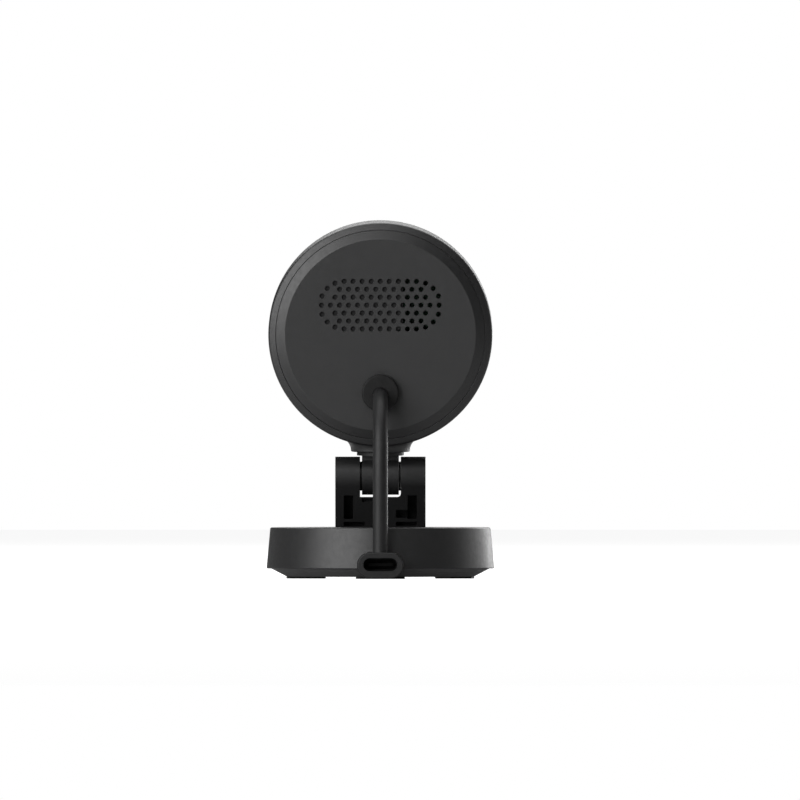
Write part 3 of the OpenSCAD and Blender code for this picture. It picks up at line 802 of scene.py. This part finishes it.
BASE_TOP_R = 29.55
ROOF_Z = BASE_TOP_Z - WALL_T
POST_PLACES = [polar(20.9, angle) for angle in (0, 90, 180, 270)]
POST_R = 2.8
POST_Z = 4.3
YOKE_SCREWS = ((-4.5, 7.4), (4.5, 7.4))
PAN_FLAT_R = 25.3
PAN_RIM_R = 29.2
PAN_Z = 0.5
PAN_T = 1.6
PORT_W = 12.3
PORT_H = 6.9
PORT_Z = 3.65
PORT_WALL_T = 1.4
SOCKET_W = 9.1
SOCKET_H = 3.5
SOCKET_Z = PORT_Z + 0.2


def port_hole():
    """The cutter that lets the socket's housing through the base's wall."""
    spare, reach = 0.2, 8
    return turned(prism(stadium(PORT_W + spare, PORT_H + spare, PORT_Z), -PORT_FRONT_Y - reach,
                        -PORT_BACK_Y + reach), LYING)


def make_base_shell():
    """The round shell with its screw posts, open below."""
    top, low, draft = 0.5, 0.25, 5
    post_hole_r, post_hole_top, yoke_hole_r = 0.95, 10.5, 1.4
    profile = [(0, ROOF_Z),
               (0, BASE_TOP_Z),
               *arc((BASE_TOP_R - top, BASE_TOP_Z - top), top, 90, draft, 8),
               *arc((BASE_LOW_R - low, BASE_LOW_Z + low), low, draft, -90, 5),
               (PAN_RIM_R - 0.6, BASE_LOW_Z),
               (BASE_TOP_R - WALL_T, ROOF_Z)]
    shell = made(lathe(profile, steps=2 * STEPS))
    join(shell, rods(POST_R, POST_Z, ROOF_Z + SUNK, POST_PLACES))
    cut(shell,
        rods(post_hole_r, 4, post_hole_top, POST_PLACES),
        rods(yoke_hole_r, ROOF_Z - PAST, BASE_TOP_Z + PAST, YOKE_SCREWS),
        port_hole())
    piece("base_body", shell, AT_BASE, "base", "matte_black", "base_shell")


def make_base_pan():
    """The dished pan, its ring inside the shell, and its screw cups."""
    ring_r, ring_t, ring_sunk, ring_h, round_r = 28.2, 1.2, 0.55, 1.65, 0.5
    cup_r, screw_hole_r, screw_head_r, screw_head_top = 3.2, 1.15, 2.15, 2.1
    rim_z = BASE_LOW_Z - 0.05
    flat_r = PAN_FLAT_R - 0.3
    profile = [(0, PAN_Z),
               *arc((flat_r, PAN_Z + round_r), round_r, 270, 298, 4),
               (PAN_RIM_R, rim_z),
               (ring_r - 1, rim_z),
               (flat_r, PAN_Z + PAN_T),
               (0, PAN_Z + PAN_T)]
    pan = made(lathe(profile, steps=2 * STEPS))
    join(pan,
         lathe(band(ring_r - ring_t, ring_r, rim_z - ring_sunk, rim_z + ring_h), steps=2 * STEPS),
         rods(cup_r, PAN_Z + 1, POST_Z - 0.1, POST_PLACES))
    cut(pan,
        rods(screw_hole_r, 0, 5, POST_PLACES),
        rods(screw_head_r, 0, screw_head_top, POST_PLACES),
        port_hole())
    # The pan's lighter material is painted bounce light from the floor.
    piece("pan_plate", pan, AT_BASE, "base", "pan_black", "base_pan")


def make_pads():
    """Four pads, each a piece of a ring with parallel sides."""
    in_r, out_r, half = 16.0, 25.2, 6.55
    near, far = math.degrees(math.asin(half / in_r)), math.degrees(math.asin(half / out_r))
    outline = arc((0, 0), in_r, near, -near, 16) + arc((0, 0), out_r, -far, far, 16)
    pads = made(prism(outline, 0, PAN_Z))
    for angle in (90, 180, 270):
        join(pads, turned(prism(outline, 0, PAN_Z), Matrix.Rotation(math.radians(angle), 4, "Z")))
    soften(pads, 0.12, 2)
    piece("pad_set", pads, AT_BASE, "base", "black_rubber", "foot_pads")


def make_port():
    """The socket's housing: a bar with round ends, a slot for the plug and a hole for the cable."""
    slit_x, slit_z, slit_deep = 4.6, 0.5, 1.5
    front, back = -PORT_FRONT_Y, -PORT_BACK_Y
    bar = made(turned(prism(stadium(PORT_W, PORT_H, PORT_Z), front, back), LYING))
    soften(bar, 0.3, 4, 60)
    cut(bar,
        turned(prism(stadium(SOCKET_W, SOCKET_H, SOCKET_Z), front + PORT_WALL_T, back + PAST), LYING),
        block(-slit_x, slit_x, PORT_FRONT_Y - slit_deep, PORT_FRONT_Y + slit_deep,
              SOCKET_Z - slit_z, SOCKET_Z + slit_z),
        rod(CABLE_R + 0.05, CABLE_ROUTE[-1][1], 10, (0, CABLE_ROUTE[-1][0])))
    soften(bar, 0.08, 2, 50)
    piece("port_body", bar, AT_BASE, "base", "port_black", "port_housing")


for make in (make_housing, make_rear_cover, make_boot, make_window, make_bezel, make_barrel, make_glass,
             make_yoke, make_caps, make_washers, make_knuckle, make_base_shell, make_base_pan, make_pads,
             make_port):
    make()


# ---------- materials ----------


# Numbers of the Mix node's sockets, which has a set of them for each kind of data.
FLOAT_A, FLOAT_B, FLOAT_RESULT = 2, 3, 0
COLOUR_A, COLOUR_B, COLOUR_RESULT = 6, 7, 2


class Surface:
    """A Principled material whose detail comes from noise in the object's own coordinates."""

    def __init__(self, name, colour, roughness, **settings):
        self.material = bpy.data.materials.new(name)
        self.material.use_nodes = True
        self.nodes = self.material.node_tree.nodes
        self.shader = self.nodes["Principled BSDF"]
        self.colour = colour
        self.place = self.nodes.new("ShaderNodeTexCoord").outputs["Object"]
        self.set("Base Color", (*colour, 1))
        self.set("Roughness", roughness)
        for socket, value in settings.items():
            self.set(socket.replace("_", " "), value)

    def set(self, socket, value):
        self.shader.inputs[socket].default_value = value

    def link(self, source, target):
        self.material.node_tree.links.new(source, target)

    def node(self, kind, inputs=(), **settings):
        made_node = self.nodes.new("ShaderNode" + kind)
        for setting, value in settings.items():
            setattr(made_node, setting, value)
        for socket, value in dict(inputs).items():
            if isinstance(value, bpy.types.NodeSocket):
                self.link(value, made_node.inputs[socket])
            else:
                made_node.inputs[socket].default_value = value
        return made_node

    def noise(self, size, detail=2.0, squeeze=(1, 1, 1)):
        """Noise with features of about that size in millimetres, 0 to 1."""
        place = self.node("Mapping", {"Vector": self.place, "Scale": squeeze}).outputs["Vector"]
        texture = self.node("TexNoise", {"Vector": place, "Scale": 1 / (size * MM), "Detail": detail})
        return texture.outputs["Fac"]

    def ranged(self, value, low, high, start=0.3, end=0.7):
        node = self.node("MapRange", {"Value": value, "From Min": start, "From Max": end, "To Min": low,
                                      "To Max": high})
        return node.outputs["Result"]

    def mottle(self, amount, size, detail=3.0):
        """Lets the colour drift lighter and darker by a share."""
        tones = [(*[min(1, c * (1 + k)) for c in self.colour], 1) for k in (-amount, amount)]
        mix = self.node("Mix", {"Factor": self.ranged(self.noise(size, detail), 0, 1)}, data_type="RGBA")
        for socket, tone in zip((COLOUR_A, COLOUR_B), tones):
            mix.inputs[socket].default_value = tone
        self.link(mix.outputs[COLOUR_RESULT], self.shader.inputs["Base Color"])
        return self

    def polish(self, low, high, size, detail=3.0, squeeze=(1, 1, 1)):
        """Lets the roughness drift between two values."""
        self.link(self.ranged(self.noise(size, detail, squeeze), low, high), self.shader.inputs["Roughness"])
        return self

    def bump(self, height, depth):
        """Raises the surface by a height, 0 to 1, times a depth in millimetres, over any earlier bump."""
        socket = self.shader.inputs["Normal"]
        node = self.node("Bump", {"Height": height, "Distance": depth * MM, "Strength": 1.0})
        if socket.is_linked:
            self.link(socket.links[0].from_socket, node.inputs["Normal"])
        self.link(node.outputs["Normal"], socket)
        return self

    def grain(self, depth, size, detail=2.0, squeeze=(1, 1, 1)):
        return self.bump(self.noise(size, detail, squeeze), depth)


def matte_plastic(name, colour, roughness, texture, shine=0.5):
    """Spark-eroded moulded plastic: a fine even grain, slow drifts in tone, and a faint orange peel."""
    surface = Surface(name, colour, roughness, IOR=1.47)
    surface.set("Specular IOR Level", shine)
    surface.mottle(0.07, 6)
    surface.polish(roughness - 0.04, roughness + 0.05, 1.1)
    surface.grain(texture, 0.16)
    surface.grain(0.006, 3.0)
    return surface.material


def rubber(name, colour):
    surface = Surface(name, colour, 0.62, IOR=1.45)
    surface.set("Specular IOR Level", 0.2)
    surface.mottle(0.12, 2.5)
    surface.polish(0.55, 0.7, 0.8)
    surface.grain(0.012, 0.2, 4)
    return surface.material


def cable_jacket():
    """Drawn jacket: satin, with faint lines along it and a soft orange peel."""
    surface = Surface("cable_jacket", (0.007, 0.007, 0.0073), 0.52, IOR=1.44)
    surface.set("Specular IOR Level", 0.35)
    surface.mottle(0.08, 3)
    surface.polish(0.47, 0.57, 1.5)
    surface.grain(0.01, 0.35, 3, (1, 0.35, 0.35))
    return surface.material


def steel(name, colour, roughness):
    """Plated steel with fine turned or drawn lines."""
    surface = Surface(name, colour, roughness, Metallic=1.0)
    surface.mottle(0.1, 1.0)
    surface.polish(roughness - 0.08, roughness + 0.1, 0.3, 4)
    surface.grain(0.004, 0.12, 3, (1, 1, 0.1))
    return surface.material


def board():
    """Green solder mask over faint tracks, drawn by the edges of square cells."""
    surface = Surface("green_board", (0.012, 0.09, 0.04), 0.35, IOR=1.5)
    cells = surface.node("TexVoronoi", {"Vector": surface.place, "Scale": 1 / (1.6 * MM)},
                         distance="CHEBYCHEV", feature="DISTANCE_TO_EDGE")
    tracks = surface.ranged(cells.outputs["Distance"], 1, 0, 0.02, 0.06)
    surface.mottle(0.25, 0.9)
    surface.bump(tracks, 0.02)
    return surface.material


def cloth():
    """Woven acoustic mesh: two sets of threads that pass over and under each other."""
    surface = Surface("mesh_cloth", (0.012, 0.012, 0.0123), 0.8)
    surface.set("Specular IOR Level", 0.2)
    waves = [surface.node("TexWave", {"Vector": surface.place, "Scale": 1 / (0.9 * MM)}, bands_direction=way)
             for way in ("X", "Z")]
    threads = {number: wave.outputs["Fac"] for number, wave in enumerate(waves)}
    weave = surface.node("Math", threads, operation="MULTIPLY")
    surface.mottle(0.3, 0.25)
    surface.bump(weave.outputs["Value"], 0.06)
    return surface.material


def window_gloss():
    """Polished black acrylic with the faintest ripple and a hint of smudges."""
    surface = Surface("window_gloss", (0.004, 0.004, 0.005), 0.06, IOR=1.5)
    surface.set("Coat Weight", 0.6)
    surface.set("Coat Roughness", 0.03)
    surface.polish(0.04, 0.11, 7, 4)
    surface.grain(0.002, 8.0)
    return surface.material


def coated_glass():
    """Lens glass with an anti-reflection coating."""
    surface = Surface("lens_glass", (0.62, 0.66, 0.78), 0.02, IOR=1.6)
    surface.set("Transmission Weight", 0.92)
    surface.set("Thin Film Thickness", 420)
    surface.set("Thin Film IOR", 1.38)
    surface.polish(0.01, 0.04, 3)
    return surface.material


def clear_light():
    surface = Surface("light_clear", (0.7, 0.75, 0.71), 0.25, IOR=1.49)
    surface.set("Subsurface Weight", 0.4)
    surface.set("Subsurface Radius", (0.001, 0.001, 0.001))
    surface.mottle(0.05, 0.5)
    return surface.material


def antenna():
    surface = Surface("antenna_brass", (0.6, 0.4, 0.16), 0.35, Metallic=1.0)
    surface.mottle(0.12, 1.2)
    surface.polish(0.28, 0.45, 0.6)
    return surface.material


def led_resin():
    surface = Surface("led_resin", (0.03, 0.016, 0.045), 0.15, IOR=1.5)
    surface.set("Coat Weight", 0.5)
    surface.mottle(0.1, 0.8)
    return surface.material


MATERIALS = {
    "matte_black": matte_plastic("matte_black", (0.008, 0.008, 0.0083), 0.45, 0.012),
    # The pan's plastic is much lighter than the shell's: painted bounce light from the floor on its
    # underside.
    "pan_black": matte_plastic("pan_black", (0.045, 0.045, 0.046), 0.55, 0.012),
    "hinge_black": matte_plastic("hinge_black", (0.009, 0.009, 0.0093), 0.52, 0.006, 0.3),
    "port_black": matte_plastic("port_black", (0.009, 0.009, 0.0093), 0.5, 0.008, 0.25),
    # socket_black is the receptacle's black plating, darkened further and its shine nearly taken away:
    # painted shade of the deep socket.
    "socket_black": matte_plastic("socket_black", (0.003, 0.003, 0.003), 0.6, 0.006, 0.1),
    "inner_black": matte_plastic("inner_black", (0.012, 0.012, 0.0125), 0.5, 0.01),
    "white_nylon": matte_plastic("white_nylon", (0.72, 0.7, 0.64), 0.5, 0.008),
    "black_rubber": rubber("black_rubber", (0.006, 0.006, 0.006)),
    "cable_jacket": cable_jacket(),
    "port_steel": steel("port_steel", (0.52, 0.52, 0.53), 0.3),
    "screw_steel": steel("screw_steel", (0.58, 0.58, 0.6), 0.32),
    "zinc_steel": steel("zinc_steel", (0.5, 0.51, 0.54), 0.42),
    "bare_aluminium": steel("bare_aluminium", (0.7, 0.71, 0.72), 0.38),
    "green_board": board(),
    "mesh_cloth": cloth(),
    "antenna_brass": antenna(),
    "lens_glass": coated_glass(),
    "led_resin": led_resin(),
    "light_clear": clear_light(),
    "window_gloss": window_gloss(),
}


def paint_everything():
    """Gives each piece, and each CAD node that still shows, the material of its slot."""
    slots = {part["node"]: part["material_slot"] for part in frame["record"]["subparts"]}
    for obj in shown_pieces():
        material = MATERIALS[obj.get("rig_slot") or slots[obj["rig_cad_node"]]]
        obj.data.materials.clear()
        obj.data.materials.append(material)


paint_everything()


# ---------- lights and floor ----------


def outward(azimuth, elevation):
    a, e = math.radians(azimuth), math.radians(elevation)
    return Vector((math.sin(a) * math.cos(e), -math.cos(a) * math.cos(e), math.sin(e)))


def add_light(name, data, azimuth, elevation, distance):
    way = outward(azimuth, elevation)
    light = bpy.data.objects.new(name, data)
    light.location = (cad_box[0] + cad_box[1]) / 2 + way * distance
    light.rotation_euler = way.to_track_quat("Z", "Y").to_euler()
    light.visible_camera = False
    bpy.context.scene.collection.objects.link(light)


def softbox(name, azimuth, elevation, distance, size, power):
    data = bpy.data.lights.new(name, "AREA")
    data.shape = "RECTANGLE"
    data.size, data.size_y = size
    data.energy = power
    add_light(name, data, azimuth, elevation, distance)


def sun(name, azimuth, elevation, angle, power):
    data = bpy.data.lights.new(name, "SUN")
    data.angle = math.radians(angle)
    data.energy = power
    add_light(name, data, azimuth, elevation, 1.0)


def make_lights():
    """A small lamp behind the camera, a soft one to its left, one overhead, and two at the right back."""
    sun("high", 0, 40, 4, 0.4)
    softbox("side", -42, 10, 1.2, (1.2, 1.8), 39)
    softbox("top", 180, 60, 1.1, (1.2, 1.6), 26)
    softbox("right", 126, 8, 0.9, (0.8, 0.6), 3.2)
    softbox("rim", 150, 10, 0.9, (0.3, 0.6), 3)


def told_apart(tree, light, camera):
    """A value that is one thing for the light that it gives, and another where the camera sees it."""
    mix = tree.nodes.new("ShaderNodeMix")
    mix.inputs[FLOAT_A].default_value = light
    mix.inputs[FLOAT_B].default_value = camera
    ray = tree.nodes.new("ShaderNodeLightPath")
    tree.links.new(ray.outputs["Is Camera Ray"], mix.inputs["Factor"])
    return mix.outputs[FLOAT_RESULT]


def make_world():
    """White where the camera sees it, and a dim fill all round as light."""
    world = bpy.data.worlds.new("studio")
    bpy.context.scene.world = world
    world.use_nodes = True
    tree = world.node_tree
    fill = tree.nodes["Background"]
    fill.inputs["Color"].default_value = (1, 1, 1, 1)
    tree.links.new(told_apart(tree, light=0.03, camera=1.0), fill.inputs["Strength"])


def floor_paint():
    """White paint that glows a little, so it stays white in the object's own shade."""
    material = bpy.data.materials.new("floor")
    material.use_nodes = True
    tree = material.node_tree
    shader = tree.nodes["Principled BSDF"]
    shader.inputs["Base Color"].default_value = (0.3, 0.3, 0.3, 1)
    shader.inputs["Roughness"].default_value = 0.9
    shader.inputs["Specular IOR Level"].default_value = 0.1
    shader.inputs["Emission Color"].default_value = (1, 1, 1, 1)
    tree.links.new(told_apart(tree, light=0.14, camera=0.9), shader.inputs["Emission Strength"])
    return material


def make_floor():
    bm = bmesh.new()
    bmesh.ops.create_circle(bm, cap_ends=True, segments=96, radius=3)
    floor = new_object("floor", bm, Matrix())
    floor.data.materials.append(floor_paint())


make_lights()
make_world()
make_floor()
bpy.context.scene.view_settings.view_transform = "Standard"
